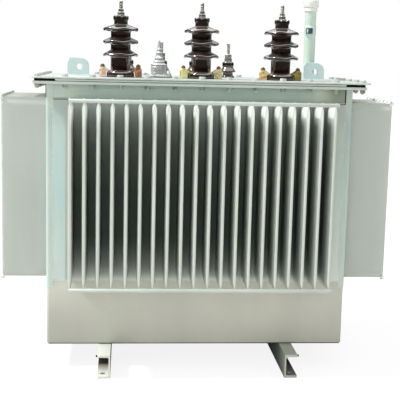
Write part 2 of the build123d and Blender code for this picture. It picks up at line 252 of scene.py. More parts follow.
# cut from cork-filled nitrile sheet: dead black with a fine open grain of 3 mm
gasketRubber = mottledFinish("corkNitrile", {"Roughness": 0.85}, 300.0, 3.0,
                             ((0.40, "#060606"), (0.75, "#1c1b1a")), (300.0, 3.0, 0.4, 0.0008))
# toughened gauge glass over a dark scale: blue-grey with a hard shine
windowGlass = mottledFinish("gaugeGlass", {"Roughness": 0.06, "IOR": 1.5, "Coat Weight": 0.5}, 90.0, 2.0,
                            ((0.40, "#3c4a58"), (0.70, "#6c7c8a")))
print("materials ready")


def newObject(name, data):
    made = bpy.data.objects.new(name, data)
    bpy.context.scene.collection.objects.link(made)
    return made


def smoothBelow(mesh, degrees):
    mesh.shade_smooth()
    mesh.set_sharp_from_angle(angle=math.radians(degrees))


# pieces are drawn in millimetres in a bmesh and scaled once, when they are finished
def finish(name, shape, material, smoothAngle=35.0):
    bmesh.ops.remove_doubles(shape, verts=shape.verts, dist=0.001)
    bmesh.ops.recalc_face_normals(shape, faces=shape.faces)
    mesh = bpy.data.meshes.new(name)
    shape.to_mesh(mesh)
    shape.free()
    mesh.transform(Matrix.Scale(toMetres, 4))
    mesh.materials.append(material)
    smoothBelow(mesh, smoothAngle)
    return newObject(name, mesh)


def place(piece, slotName, *replaced):
    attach(piece, "root")
    if replaced:
        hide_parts(*replaced)


def addRings(shape, rings):
    # joins closed rings of equal length into a skin and caps both ends
    loops = [[shape.verts.new(p) for p in ring] for ring in rings]
    count = len(loops[0])
    for lower, upper in zip(loops, loops[1:]):
        for i in range(count):
            j = (i + 1) % count
            shape.faces.new((lower[i], lower[j], upper[j], upper[i]))
    shape.faces.new(list(reversed(loops[0])))
    shape.faces.new(loops[-1])


def addLathe(shape, profile, centre, steps=64, wave=None):
    # profile is (radius, height) from the bottom up; wave moves a point by radius, height and angle
    cx, cy, cz = centre
    rings = []
    for radius, height in profile:
        ring = []
        for k in range(steps):
            angle = fullTurn * k / steps
            lift = wave(radius, height, angle) if wave else 0.0
            ring.append((cx + radius * math.cos(angle), cy + radius * math.sin(angle), cz + height + lift))
        rings.append(ring)
    addRings(shape, rings)


def roundedOutline(halfX, halfY, radius, steps=10):
    points = []
    for cornerX, cornerY, start in ((1, 1, 0), (-1, 1, 90), (-1, -1, 180), (1, -1, 270)):
        for k in range(steps + 1):
            angle = math.radians(start + 90 * k / steps)
            points.append((cornerX * (halfX - radius) + radius * math.cos(angle),
                           cornerY * (halfY - radius) + radius * math.sin(angle)))
    return points


def addPlate(shape, halfX, halfY, radius, z0, z1, bevel=1.0):
    # a flat plate with rounded corners and a broken edge top and bottom
    rings = []
    for z, inset in ((z0, bevel), (z0 + bevel * 0.3, bevel * 0.3), (z0 + bevel, 0.0),
                     (z1 - bevel, 0.0), (z1 - bevel * 0.3, bevel * 0.3), (z1, bevel)):
        outline = roundedOutline(halfX - inset, halfY - inset, max(radius - inset, 0.2))
        rings.append([(x, y, z) for x, y in outline])
    addRings(shape, rings)


def addBlock(shape, x0, x1, z0, z1, layers):
    # an upright block drawn from the front back; layers are (y, inset), and a negative inset stands out
    addRings(shape, [[(x0 + inset, y, z0 + inset), (x1 - inset, y, z0 + inset),
                      (x1 - inset, y, z1 - inset), (x0 + inset, y, z1 - inset)] for y, inset in layers])


def pulledIn(outline, middle, amount):
    # an outline drawn in towards its middle, for a broken edge
    ring = []
    for point in outline:
        away = Vector(point) - middle
        ring.append(middle + away * ((away.length - amount) / away.length))
    return ring


def middleOf(outline):
    return Vector((sum(p[0] for p in outline), sum(p[1] for p in outline))) / len(outline)


def addPrism(shape, outline, spot, start, end, bevel=0.0):
    # outline is swept from start to end; spot turns (u, v, distance) into a point
    steps = ((start, 0.0), (end, 0.0))
    if bevel:
        steps = ((start, bevel), (start + bevel, 0.0), (end - bevel, 0.0), (end, bevel))
    addRings(shape, [[spot(moved.x, moved.y, distance) for moved in pulledIn(outline, middleOf(outline), inset)]
                     for distance, inset in steps])


def addHex(shape, acrossFlats, z0, z1, centre, turn=0.0):
    # a hexagon with its chamfered crown, as on nuts and bolt heads
    corner = acrossFlats / math.sqrt(3)
    crown = acrossFlats * 0.07
    rings = []
    for z, cut in ((z0, crown), (z0 + crown * 0.6, 0.0), (z1 - crown * 0.6, 0.0), (z1, crown)):
        ring = []
        for k in range(12):
            angle = fullTurn * k / 12 + turn
            radius = (corner if k % 2 == 0 else acrossFlats / 2) - (cut if k % 2 == 0 else cut * 0.3)
            ring.append((centre[0] + radius * math.cos(angle), centre[1] + radius * math.sin(angle), z))
        rings.append(ring)
    addRings(shape, rings)


def addDisc(shape, radius, z0, z1, centre, steps=28, bevel=0.4):
    addLathe(shape, [(radius - bevel, z0), (radius, z0 + bevel), (radius, z1 - bevel), (radius - bevel, z1)],
             (centre[0], centre[1], 0.0), steps)


def addRod(shape, start, end, radius, steps=12):
    # a straight round rod between two points
    a, b = Vector(start), Vector(end)
    along = (b - a).normalized()
    side = along.orthogonal().normalized()
    other = along.cross(side)
    rings = []
    for base, scale in ((a, 0.8), (a + along * radius * 0.3, 1.0), (b - along * radius * 0.3, 1.0), (b, 0.8)):
        rings.append([base + (side * math.cos(fullTurn * k / steps) + other * math.sin(fullTurn * k / steps))
                      * radius * scale for k in range(steps)])
    addRings(shape, rings)


def newTree(name, sockets):
    tree = bpy.data.node_groups.new(name, "GeometryNodeTree")
    tree.interface.new_socket("Geometry", in_out="INPUT", socket_type="NodeSocketGeometry")
    for label, kind, value in sockets:
        socket = tree.interface.new_socket(label, in_out="INPUT", socket_type="NodeSocket" + kind)
        if value is not None:
            socket.default_value = value
    tree.interface.new_socket("Geometry", in_out="OUTPUT", socket_type="NodeSocketGeometry")
    return tree, tree.nodes.new("NodeGroupInput").outputs


def closeTree(tree, source, geometry):
    # every tree ends the same way, so that the mesh that comes out keeps its copies as real geometry and its finish
    real = addNode(tree, "GeometryNodeRealizeInstances", links={0: geometry})
    dressed = addNode(tree, "GeometryNodeSetMaterial", links={0: real.outputs[0], "Material": source["Material"]})
    addNode(tree, "NodeGroupOutput", links={0: dressed.outputs[0]})
    return tree


def rowTree():
    # copies the piece along a straight line
    tree, source = newTree("copiesInRow", (
        ("Count", "Int", 2), ("Start", "Vector", None), ("Step", "Vector", None), ("Material", "Material", None)))
    line = addNode(tree, "GeometryNodeMeshLine", links={
        "Count": source["Count"], "Start Location": source["Start"], "Offset": source["Step"]})
    copies = addNode(tree, "GeometryNodeInstanceOnPoints", links={
        "Points": line.outputs[0], "Instance": source["Geometry"]})
    return closeTree(tree, source, copies.outputs[0])


def ringTree():
    # copies the piece round a circle, each turned to face outwards
    tree, source = newTree("copiesRoundCircle", (
        ("Count", "Int", 6), ("Radius", "Float", 0.01), ("Centre", "Vector", None), ("Material", "Material", None)))
    circle = addNode(tree, "GeometryNodeMeshCircle", links={
        "Vertices": source["Count"], "Radius": source["Radius"]})
    index = addNode(tree, "GeometryNodeInputIndex")
    share = addNode(tree, "ShaderNodeMath", {"operation": "DIVIDE"}, {0: index.outputs[0], 1: source["Count"]})
    angle = addNode(tree, "ShaderNodeMath", {"operation": "MULTIPLY", 1: fullTurn}, {0: share.outputs[0]})
    turn = addNode(tree, "ShaderNodeCombineXYZ", links={2: angle.outputs[0]})
    copies = addNode(tree, "GeometryNodeInstanceOnPoints", links={
        "Points": circle.outputs[0], "Instance": source["Geometry"], "Rotation": turn.outputs[0]})
    moved = addNode(tree, "GeometryNodeTransform", links={
        "Geometry": copies.outputs[0], "Translation": source["Centre"]})
    return closeTree(tree, source, moved.outputs[0])


def edgeTree():
    # copies the piece round a rectangle, two long rows and two short rows, each turned by chance
    tree, source = newTree("copiesRoundFlange", (
        ("Long Count", "Int", 13), ("Short Count", "Int", 4), ("Half Width", "Float", 0.5),
        ("Half Depth", "Float", 0.2), ("Spread", "Float", 0.05), ("Seed", "Int", 7),
        ("Material", "Material", None)))
    join = addNode(tree, "GeometryNodeJoinGeometry")
    for along, count, reach, away in ((0, "Long Count", "Half Width", "Half Depth"),
                                      (1, "Short Count", "Spread", "Half Width")):
        for side in (-1.0, 1.0):
            back = addNode(tree, "ShaderNodeMath", {"operation": "MULTIPLY", 1: -1.0}, {0: source[reach]})
            out = addNode(tree, "ShaderNodeMath", {"operation": "MULTIPLY", 1: side}, {0: source[away]})
            ends = [addNode(tree, "ShaderNodeCombineXYZ", links={along: end, 1 - along: out.outputs[0]})
                    for end in (back.outputs[0], source[reach])]
            line = addNode(tree, "GeometryNodeMeshLine", {"mode": "END_POINTS"}, {
                "Count": source[count], "Start Location": ends[0].outputs[0], "Offset": ends[1].outputs[0]})
            tree.links.new(line.outputs[0], join.inputs[0])
    twist = addNode(tree, "FunctionNodeRandomValue", {"data_type": "FLOAT", 2: 0.0, 3: fullTurn / 6},
                    {"Seed": source["Seed"]})
    turn = addNode(tree, "ShaderNodeCombineXYZ", links={2: twist.outputs[1]})
    copies = addNode(tree, "GeometryNodeInstanceOnPoints", links={
        "Points": join.outputs[0], "Instance": source["Geometry"], "Rotation": turn.outputs[0]})
    return closeTree(tree, source, copies.outputs[0])


def threadTree():
    # a thread wound round each point of the piece as a thin ridge
    tree, source = newTree("threadOnPoints", (
        ("Radius", "Float", 0.006), ("Height", "Float", 0.02), ("Turns", "Float", 10.0),
        ("Ridge", "Float", 0.0005), ("Material", "Material", None)))
    coil = addNode(tree, "GeometryNodeCurveSpiral", {"Resolution": 14}, {
        "Rotations": source["Turns"], "Start Radius": source["Radius"], "End Radius": source["Radius"],
        "Height": source["Height"]})
    profile = addNode(tree, "GeometryNodeCurvePrimitiveCircle", {"Resolution": 4}, {"Radius": source["Ridge"]})
    ridge = addNode(tree, "GeometryNodeCurveToMesh", {"Fill Caps": True}, {
        "Curve": coil.outputs[0], "Profile Curve": profile.outputs[0]})
    copies = addNode(tree, "GeometryNodeInstanceOnPoints", links={
        "Points": source["Geometry"], "Instance": ridge.outputs[0]})
    return closeTree(tree, source, copies.outputs[0])


def beadTree():
    # a weld bead along the piece's edges: a round ridge that swells with each ripple
    tree, source = newTree("weldBead", (
        ("Radius", "Float", 0.002), ("Ripple", "Float", 0.004), ("Seed", "Float", 1.0),
        ("Material", "Material", None)))
    path = addNode(tree, "GeometryNodeMeshToCurve", links={0: source["Geometry"]})
    fine = addNode(tree, "GeometryNodeResampleCurve", {"mode": "LENGTH"}, {
        "Curve": path.outputs[0], "Length": source["Ripple"]})
    where = addNode(tree, "GeometryNodeInputPosition")
    noise = addNode(tree, "ShaderNodeTexNoise", {"noise_dimensions": "4D", "Scale": 190.0, "Detail": 1.0}, {
        "Vector": where.outputs[0], "W": source["Seed"]})
    swell = addNode(tree, "ShaderNodeMapRange", {1: 0.3, 2: 0.7, 3: 0.7, 4: 1.25}, {0: noise.outputs[0]})
    thick = addNode(tree, "GeometryNodeSetCurveRadius", links={
        "Curve": fine.outputs[0], "Radius": swell.outputs[0]})
    profile = addNode(tree, "GeometryNodeCurvePrimitiveCircle", {"Resolution": 6}, {"Radius": source["Radius"]})
    bead = addNode(tree, "GeometryNodeCurveToMesh", {"Fill Caps": True}, {
        "Curve": thick.outputs[0], "Profile Curve": profile.outputs[0], "Scale": swell.outputs[0]})
    return closeTree(tree, source, bead.outputs[0])


trees = {"row": rowTree(), "ring": ringTree(), "edge": edgeTree(), "thread": threadTree(), "bead": beadTree()}
print("node trees ready")


def grow(seedPiece, treeName, values, material, name, smoothAngle=35.0):
    # runs a tree on a piece and keeps the plain mesh that comes out
    modifier = seedPiece.modifiers.new("grow", "NODES")
    modifier.node_group = trees[treeName]
    sockets = {s.name: s.identifier for s in trees[treeName].interface.items_tree if s.in_out == "INPUT"}
    for label, value in values.items():
        modifier[sockets[label]] = value
    modifier[sockets["Material"]] = material
    mesh = bpy.data.meshes.new_from_object(seedPiece.evaluated_get(bpy.context.evaluated_depsgraph_get()))
    bpy.data.objects.remove(seedPiece)
    mesh.name = name
    smoothBelow(mesh, smoothAngle)
    return newObject(name, mesh)


def pathPiece(points, closed=False):
    mesh = bpy.data.meshes.new("path")
    edges = [(i, i + 1) for i in range(len(points) - 1)]
    if closed:
        edges.append((len(points) - 1, 0))
    mesh.from_pydata([metres(*p) for p in points], edges, [])
    return newObject("path", mesh)


def weld(name, points, radius, material, slotName, closed=False, seed=1.0):
    ripple = 4.0  # from one ripple of the bead to the next
    place(grow(pathPiece(points, closed), "bead", {"Radius": radius * toMetres, "Ripple": ripple * toMetres,
                                                   "Seed": seed}, material, name, 60.0), slotName)


# the tank is three walls one above the other, on a bottom plate that sits a little inside them
tank = {"corner": 8.0, "edge": 1.6, "coreProud": 0.6,
        "plateHigh": 6.0, "plateInset": 2.5, "plateEdge": 0.8, "plateGap": 3.4}
tankLow, tankHigh = boxMm("lower_tank")
halfX, halfY, tankFoot = tankHigh[0], tankHigh[1], tankLow[2]
coreLow, coreHigh = boxMm("tank_core")
coreFoot, coreTop = coreLow[2], coreHigh[2]
collarTop = boxMm("upper_collar")[1][2]
for name, nodeName, paint, z0, z1, proud in (
        ("lowerTank", "lower_tank", lowerPaint, tankFoot + tank["plateGap"], coreFoot, 0.0),
        ("tankCore", "tank_core", corePaint, coreFoot, coreTop, tank["coreProud"]),
        ("upperCollar", "upper_collar", collarPaint, coreTop, collarTop, 0.0)):
    shape = bmesh.new()
    addPlate(shape, halfX + proud, halfY + proud, tank["corner"] + proud, z0, z1, tank["edge"])
    place(finish(name, shape, paint), "tank_paint", nodeName)
# the bottom plate's dark steel shows as a dark line along the tank's foot: painted shadow under the tank
shape = bmesh.new()
addPlate(shape, halfX - tank["plateInset"], halfY - tank["plateInset"], tank["corner"],
         tankFoot, tankFoot + tank["plateHigh"], tank["plateEdge"])
place(finish("bottomPlate", shape, darkSteelAndShadow), "tank_paint")

# folded angles run down the four corners from the flange to just below the seam
cornerAngle = {"leg": 21.0, "proud": 2.0, "sunk": 1.0, "lap": 24.0, "steps": 8}
legX = halfX - cornerAngle["leg"]
shape = bmesh.new()
for cornerX, cornerY in corners:
    outline = []
    for proud, order in ((cornerAngle["proud"], 1), (-cornerAngle["sunk"], -1)):
        radius = tank["corner"] + proud
        path = [(legX, halfY + proud)]
        for k in range(cornerAngle["steps"] + 1):
            around = math.radians(90 - 90 * k / cornerAngle["steps"])
            path.append((halfX - tank["corner"] + radius * math.cos(around),
                         halfY - tank["corner"] + radius * math.sin(around)))
        path.append((halfX + proud, halfY - cornerAngle["leg"]))
        outline += path[::order]
    addRings(shape, [[(cornerX * x, cornerY * y, z) for x, y in outline]
                     for z in (coreFoot - cornerAngle["lap"], collarTop)])
place(finish("cornerAngles", shape, anglePaint), "tank_paint")
print("tank shell made")

# a square notch at both ends of each fin makes room for the bars; the bars run past the last fins
fin = {"count": 20, "sideCount": 8, "pitch": 45.0, "thickness": 14.0, "tip": 9.4, "fold": 3.0,
       "shoulder": 19.0, "sideShoulder": 5.0, "notch": 7.6, "panel": 0.9, "sunk": 3.0,
       "bar": 6.2, "barLeft": 2.5, "barRight": 10.0}
# thickness by distance from the pinched ends, with more rings where the painted shade changes
finPinch = ((0.0, 3.6), (7.5, 4.0), (7.7, 4.0), (11.0, 4.6), (13.5, 6.0), (16.5, 8.6), (19.5, 11.0), (23.0, 12.8),
            (28.0, 13.8), (34.0, 14.0), (49.5, 14.0), (51.0, 14.0), (72.0, 14.0), (95.0, 14.0), (122.0, 14.0),
            (155.0, 14.0), (215.0, 14.0))
finRoot = ((3.0, 0.9), (0.8, 2.2), (0.0, 5.0))  # outside the fin's face, out from the wall
finStations = (0.28, 0.36, 0.45, 0.7)  # shares of the depth


def finSkin(depth, z0, z1, shoulder):
    # one folded fin standing out along -Y from the plane y = 0, with its share of the wall
    levels = [(z0 + away, away, width) for away, width in finPinch]
    levels += [((z0 + z1) / 2, (z1 - z0) / 2, fin["thickness"])]
    levels += [(z1 - away, away, width) for away, width in finPinch[::-1]]
    rings = []
    for z, away, width in levels:
        half = width / 2
        tipHalf = half * fin["tip"] / fin["thickness"]
        fold = min(fin["fold"], tipHalf * 0.8)
        tip = depth - (fin["notch"] if away < fin["notch"] else 0.0)
        right = [(fin["pitch"] / 2, fin["sunk"]), (fin["pitch"] / 2, -fin["panel"])]
        right += [(half + aside, -out) for aside, out in finRoot]
        right += [(half, -tip * share) for share in finStations]
        right += [(half, -(tip - shoulder)), (tipHalf, -(tip - fold))]
        for k in range(1, 6):
            angle = math.radians(90 * k / 5)
            right.append((tipHalf - fold + fold * math.cos(angle), -(tip - fold) - fold * math.sin(angle)))
        rings.append([(x, y, z) for x, y in right + [(-x, y) for x, y in reversed(right)]])
    return rings


# painted light share between the fins: by share of the depth, by distance from the upper and lower ends, down the
# fin fronts and on the outer sides;
# the painted shade deepens from left to right, and the sunlit top of each fin's flank is left unshaded
finShade = {"depth": ((0.0, 0.0), (0.28, 0.03), (0.38, 0.45), (0.80, 0.55), (0.88, 0.76)),
         "upper": ((0.0, 0.8), (60.0, 0.55), (80.0, 0.44), (110.0, 0.32), (160.0, 0.17), (230.0, 0.08),
                   (300.0, 0.03)),
         "lower": ((0.0, 0.95), (14.0, 0.8), (60.0, 0.42), (140.0, 0.0)),
         "front": ((0.0, 0.95), (50.0, 0.95), (90.0, 0.65)),
         "outer": ((0.0, 0.56), (0.95, 0.58), (1.0, 0.70)),
         "gapLightCap": 0.85, "frontFrom": 0.86, "topFrom": 0.3, "topHigh": 51.0,
         "upperFade": 0.25, "lowerFade": 0.42, "lowerFadeHigh": 25.0}


def paintFinShade(mesh, wall, depth, z0, z1, halfRow):
    # 0 for full painted shade deep between the fins, 1 for none on the fin fronts and near the open ends
    spread = mesh.attributes.new("paintedLightShare", "FLOAT", "POINT")
    for vertex, value in zip(mesh.vertices, spread.data):
        x, y, z = (c / toMetres for c in vertex.co)
        out = (-y - wall) / depth
        if abs(x) > halfRow + 0.5:
            value.value = finShade["gapLightCap"] * between(out, finShade["outer"])
            continue
        above, below = z1 - z, z - z0
        toRight = min(max(x / halfRow, -1.0), 1.0) * 0.5 + 0.5
        if above < below:
            endShare = between(above, finShade["upper"]) * (1.0 - finShade["upperFade"] * toRight)
        else:
            fade = finShade["lowerFade"] * toRight * min(below / finShade["lowerFadeHigh"], 1.0)
            endShare = between(below, finShade["lower"]) * (1.0 - fade)
        litShare = 0.0
        if out > finShade["frontFrom"]:
            litShare = between(above, finShade["front"])
        elif out > finShade["topFrom"] and above < finShade["topHigh"]:
            litShare = 1.0
        value.value = max(finShade["gapLightCap"] * between(out, finShade["depth"]), finShade["gapLightCap"] * endShare, litShare)


dab = {"half": 4.2, "long": 5.0, "back": 3.5, "rise": 4.6, "steps": 6, "round": 10}
for side, turn in (("front", 0), ("right", 90), ("rear", 180), ("left", 270)):
    low, high = boxMm(side + "_fins")
    lengthwise = side in ("front", "rear")
    axis = 1 if lengthwise else 0
    wall = tankHigh[axis]
    reach = high[axis] if side in ("rear", "right") else -low[axis]
    count = fin["count" if lengthwise else "sideCount"]
    half = (count - 1) / 2 * fin["pitch"]
    inRow = {"Count": count, "Start": metres(-half, 0, 0), "Step": metres(fin["pitch"], 0, 0)}
    turned = Matrix.Rotation(math.radians(turn), 4, "Z")
    shape = bmesh.new()
    addRings(shape, finSkin(reach - wall, low[2], high[2], fin["shoulder" if lengthwise else "sideShoulder"]))
    single = finish("fin", shape, finPaint, 20.0)
    single.data.transform(Matrix.Translation(metres(0, -wall, 0)))
    row = grow(single, "row", inRow, finPaint, side + "FinRow", 20.0)
    paintFinShade(row.data, wall, reach - wall, low[2], high[2], half)
    # round bars across the tips, with a dab of weld on each fin
    bars, dabs = bmesh.new(), bmesh.new()
    for z, rise in ((low[2], -1), (high[2], 1)):
        addRod(bars, (-half - fin["barLeft"], -reach, z), (half + fin["barRight"], -reach, z), fin["bar"], 20)
        rings = []
        for k in range(dab["steps"] + 1):
            angle = math.radians(10 + 160 * k / dab["steps"])
            rings.append([(dab["half"] * math.sin(angle) * math.cos(fullTurn * j / dab["round"]),
                           -reach + dab["back"]
                           + dab["long"] * math.sin(angle) * math.sin(fullTurn * j / dab["round"]),
                           z + rise * dab["rise"] - dab["half"] * math.cos(angle)) for j in range(dab["round"])])
        addRings(dabs, rings)
    # the bars across the side fins take the paler cap paint: a painted highlight that lightens their shaded sides
    barRow = finish(side + "TipBars", bars, tipBarPaint if lengthwise else capPaint)
    dabRow = grow(finish("dab", dabs, tipBarPaint, 60.0), "row", inRow, tipBarPaint, side + "BarWelds", 60.0)
    for piece, replaced in ((row, (side + "_fins",)), (barRow, (side + "_fin_bars",)), (dabRow, ())):
        piece.data.transform(turned)
        place(piece, "fin_paint", *replaced)
print("fins made")

# weld beads round the two seams and down the edges of the corner angles
bead = {"seam": 1.9, "seamProud": 0.3, "corner": 1.5, "cornerProud": 0.6, "cornerGap": 2.0}
for name, z in (("seamLow", coreFoot), ("seamHigh", coreTop)):
    outline = roundedOutline(*(v + bead["seamProud"] for v in (halfX, halfY, tank["corner"])))
    weld(name, [(x, y, z) for x, y in outline], bead["seam"], corePaint, "tank_paint", True, coreFoot)
for i, (cornerX, cornerY) in enumerate(corners):
    x, y = cornerX * legX, cornerY * (halfY + bead["cornerProud"])
    weld("seamCorner" + str(i + 1), [(x, y, coreFoot + bead["cornerGap"]), (x, y, coreTop - bead["cornerGap"])],
         bead["corner"], capPaint, "tank_paint", False, i + 2.0)

# dark rods in the laps of the collar under the angles and along the ends of the upper seam: the laps are real,
# their dark is painted shadow
lap = {"open": 1.6, "openIn": 1.8, "openProud": 0.3, "openDrop": 4.0, "end": 2.0, "cornerProud": 1.4,
       "cornerIn": 5.0, "under": 1.3, "underIn": 1.0, "underProud": 0.6, "underDrop": 2.4, "underLong": 78.0}
shape = bmesh.new()
for sign in (-1, 1):
    x, y = -sign * (legX - lap["openIn"]), sign * (halfY + lap["openProud"])
    addRod(shape, (x, y, coreTop - lap["openDrop"]), (x, y, collarTop - lap["end"]), lap["open"], 8)
    x, y = sign * (halfX + lap["cornerProud"]), sign * (halfY - lap["cornerIn"])
    addRod(shape, (x, y, coreTop + lap["end"]), (x, y, collarTop - lap["end"]), lap["open"], 8)
    y, z = sign * (halfY + lap["underProud"]), coreTop - lap["underDrop"]
    for across in (-1, 1):
        addRod(shape, (across * (legX - lap["underIn"]), y, z), (across * (halfX - lap["underLong"]), y, z),
               lap["under"], 8)
place(finish("lapShadowLines", shape, darkSteelAndShadow), "tank_paint")

# flange, gasket and lid: corner radius and broken edge
for name, nodeName, corner, edge, material, slotName in (
        ("tankFlange", "top_flange", 18.0, 1.0, lidPaint, "tank_paint"),
        ("lidGasket", "lid_gasket", 14.0, 1.2, gasketRubber, "gasket_rubber"),
        ("lidPlate", "lid", 24.0, 1.2, lidTopPaint, "lid_paint")):
    low, high = boxMm(nodeName)
    shape = bmesh.new()
    addPlate(shape, high[0], high[1], corner, low[2], high[2], edge)
    place(finish(name, shape, material), slotName, nodeName)
top = high[2]
flangeLow, flangeHigh = boxMm("top_flange")
under = flangeLow[2]

strip = {"gap": 1.5, "edge": 2.2, "inset": 1.8, "faceShare": 0.6}
for side in ("front", "rear"):
    low, high = boxMm(side + "_stop_strip")
    back, face, inset = (high[1], low[1], strip["inset"]) if side == "front" else \
        (low[1], high[1], -strip["inset"])
    outline = [(back, low[2] + strip["gap"]), (face + inset, low[2] + strip["gap"]),
               (face + inset * strip["faceShare"], low[2] + strip["edge"]),
               (face + inset * strip["faceShare"], high[2] - strip["edge"]),
               (face + inset, high[2] - strip["gap"]), (back, high[2] - strip["gap"])]
    shape = bmesh.new()
    addRings(shape, [[(x, y, z) for y, z in outline] for x in (low[0], high[0])])
    place(finish(side + "StopStrip", shape, lidPaint), "lid_paint", side + "_stop_strip")

# bolts round the flange: heads with washers on the lid, nuts, washers and bolt ends under the flange
lidBolt = {"headAcross": 19.0, "head": 6.4, "washer": 12.0, "washerHigh": 2.2,
           "nutAcross": 16.0, "nut": 9.0, "nutWasher": 10.0, "nutWasherHigh": 2.0,
           "shank": 5.0, "shankLow": 15.0, "shankHigh": 8.0, "pitch": 90.0, "inset": 19.0,
           "long": 13, "short": 4, "shortSpread": 150.0, "seed": 11}
headFoot, nutTop = top + lidBolt["washerHigh"], under - lidBolt["nutWasherHigh"]
heads, nuts, ends = bmesh.new(), bmesh.new(), bmesh.new()
addDisc(heads, lidBolt["washer"], top, headFoot, (0, 0))
addHex(heads, lidBolt["headAcross"], headFoot, headFoot + lidBolt["head"], (0, 0))
addDisc(nuts, lidBolt["nutWasher"], nutTop, under, (0, 0))
addHex(nuts, lidBolt["nutAcross"], nutTop - lidBolt["nut"], nutTop, (0, 0))
addDisc(ends, lidBolt["shank"], under - lidBolt["shankLow"], under - lidBolt["shankHigh"], (0, 0), 12, 0.8)
for form, material, name, slotName in ((heads, lidTopPaint, "lidBoltHeads", "lid_paint"),
                                       (nuts, dullZinc, "flangeNuts", "terminal_steel"),
                                       (ends, zincBolt, "flangeBoltEnds", "terminal_steel")):
    place(grow(finish(name, form, material), "edge", {
        "Long Count": lidBolt["long"], "Short Count": lidBolt["short"], "Seed": lidBolt["seed"],
        "Half Width": (lidBolt["long"] - 1) / 2 * lidBolt["pitch"] * toMetres,
        "Half Depth": (flangeHigh[1] - lidBolt["inset"]) * toMetres,
        "Spread": lidBolt["shortSpread"] * toMetres}, material, name), slotName)
print("lid made")

studThread = {"radius": 5.4, "ridge": 0.6}


def bushing(kind, number, profile, steps, wave, phase, stack, turns, thread):
    # one porcelain with the washers and nuts on it, its stud and the stud's thread
    name = kind + "_bushing_" + number
    centre, base = middleMm(name), boxMm(name)[1][2]
    shape = bmesh.new()
    addLathe(shape, profile, (*centre, top), steps, lambda *at: wave(*at, phase))
    place(finish(kind + "Bushing" + number, shape, porcelain, 50.0), "porcelain_glaze", name)
    shape = bmesh.new()
    turns = list(turns)
    for form, size, low, high in stack:
        if form == "nut":
            addHex(shape, size, base + low, base + high, centre, turns.pop(0))
        else:
            addDisc(shape, size, base + low, base + high, centre, *((20, 1.4) if form == "stud" else ()))
    place(finish(kind + "Stud" + number, shape, tinnedBrass), "terminal_steel", kind + "_terminal_" + number)
    start, height, windings = thread
    place(grow(pathPiece([(*centre, base + start)]), "thread", {
        "Radius": studThread["radius"] * toMetres, "Ridge": studThread["ridge"] * toMetres,
        "Height": height * toMetres, "Turns": windings}, tinnedBrass, kind + "Thread" + number), "terminal_steel")


# the tall bushings, with heights over the lid
hv = {"foot": 46.0, "footEdge": 10.0, "footHigh": 23.0, "body": 33.0, "shed": 58.6, "sheds": (72.0, 114.0, 156.0),
      "lip": 6.5, "slope": 12.0, "neck": 22.5, "cap": 25.5, "high": boxMm("hv_bushing_1")[1][2] - top,
      "waves": 6, "waveHigh": 2.3, "notches": 8, "notchDeep": 3.2, "notchShare": 0.3}
# the notched crown, as (in from the cap's radius, down from its top)
hvCrown = ((1.5, 14.0), (0.0, 11.5), (0.0, 2.5), (0.8, 0.8), (2.5, 0.0), (6.0, 0.6), (7.5, 3.0))
hvStack = (("washer", 13.0, 0.0, 2.6), ("washer", 13.0, -3.4, 0.4), ("nut", 21.0, 2.6, 12.0),
           ("washer", 8.6, 12.0, 14.3), ("nut", 15.5, 14.3, 22.3), ("stud", 5.6, 22.3, 49.6))


def hvProfile():
    foot, body, shed = hv["foot"], hv["body"], hv["shed"]
    points = [(foot - 2.5, 0.0), (foot - 0.6, 1.0), (foot, 3.5), (foot, hv["footEdge"])]
    for k in range(1, 7):
        angle = math.radians(90 * k / 6)
        points.append((body + (foot - body) * math.cos(angle),
                       hv["footEdge"] + (hv["footHigh"] - hv["footEdge"]) * math.sin(angle)))
    points.append((body, hv["footHigh"] + 6.0))
    for z in hv["sheds"]:
        inner = hv["neck"] if z == hv["sheds"][-1] else body
        crest, rim = z + hv["lip"], shed - 1.4
        points += [(body, z - 9.0), (body + 1.2, z - 4.0), (body + 5.0, z - 1.5), (shed - 9.0, z - 1.0),
                   (shed - 3.5, z - 1.8), (shed - 1.0, z - 0.8), (shed, z + 1.6), (shed, crest - 3.0),
                   (rim, crest - 0.8)]
        for k in range(1, 7):
            share = k / 7
            points.append((rim + (inner + 1.0 - rim) * share, crest - 0.8 + hv["slope"] * share ** 0.9))
        points.append((inner, crest + hv["slope"] + 1.0))
    points.append((hv["neck"], hv["high"] - 16.0))
    points += [(hv["cap"] - inward, hv["high"] - down) for inward, down in hvCrown]
    return points + [(12.0, hv["high"] - 3.0), (8.0, hv["high"] - 3.0)]


def hvWave(radius, height, angle, phase):
    # the sheds ripple, more towards the rim, and the crown of the cap is notched
    if height > hv["high"] - 3.2 and radius > hv["cap"] - 7.0:
        notched = (angle * hv["notches"] / fullTurn + phase) % 1.0 < hv["notchShare"]
        return -hv["notchDeep"] if notched else 0.0
    if height < 60.0:
        return 0.0
    out = max(0.0, (radius - hv["body"] - 3.0) / (hv["shed"] - hv["body"]))
    return hv["waveHigh"] * out * math.sin(hv["waves"] * angle + phase + height * 0.06)


for i in range(3):
    bushing("hv", str(i + 1), hvProfile(), 98, hvWave, i * 1.3, hvStack, (0.3 + i, 0.9 + i * 0.7),
            (23.0, 24.5, 14.0))
print("high voltage bushings made")

